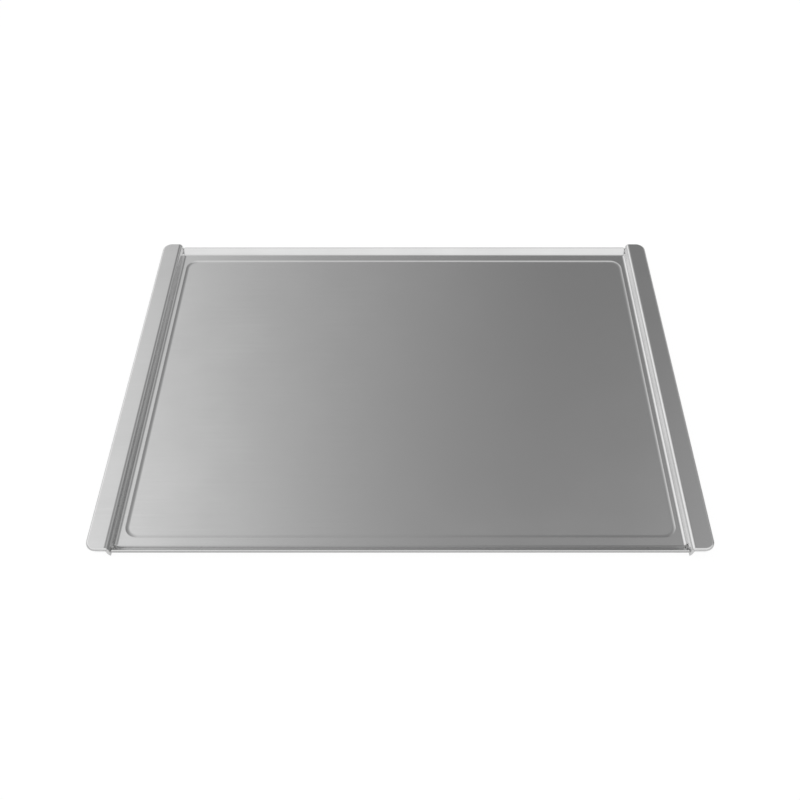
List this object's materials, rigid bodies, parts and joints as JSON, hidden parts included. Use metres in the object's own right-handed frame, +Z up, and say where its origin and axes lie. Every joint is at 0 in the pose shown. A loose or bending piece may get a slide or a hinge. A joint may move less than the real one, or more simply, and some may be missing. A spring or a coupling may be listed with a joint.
{
  "type": "cookie sheet",
  "caption": "Rectangular folded aluminium cookie sheet with a shallow recessed panel, low inclined front and back lips, upright side walls and flat runner flanges.",
  "frame": {"origin": "centre of the baking panel's underside, which is the face that the sheet rests on", "axes": "+X along the long side towards the right flange, +Y from the front lip to the back lip, +Z up"},
  "size_m": [0.46, 0.33, 0.0109],
  "materials": {
    "aluminium_sheet": "bare mill-rolled aluminium sheet, satin to bright, with a faint rolling grain"
  },
  "bodies": {
    "root": {"baking_panel": "aluminium_sheet", "panel_step": "aluminium_sheet", "floor_border": "aluminium_sheet", "front_lip": "aluminium_sheet", "back_lip": "aluminium_sheet", "left_wall": "aluminium_sheet", "right_wall": "aluminium_sheet", "left_flange": "aluminium_sheet", "right_flange": "aluminium_sheet"}
  },
  "joints": []
}
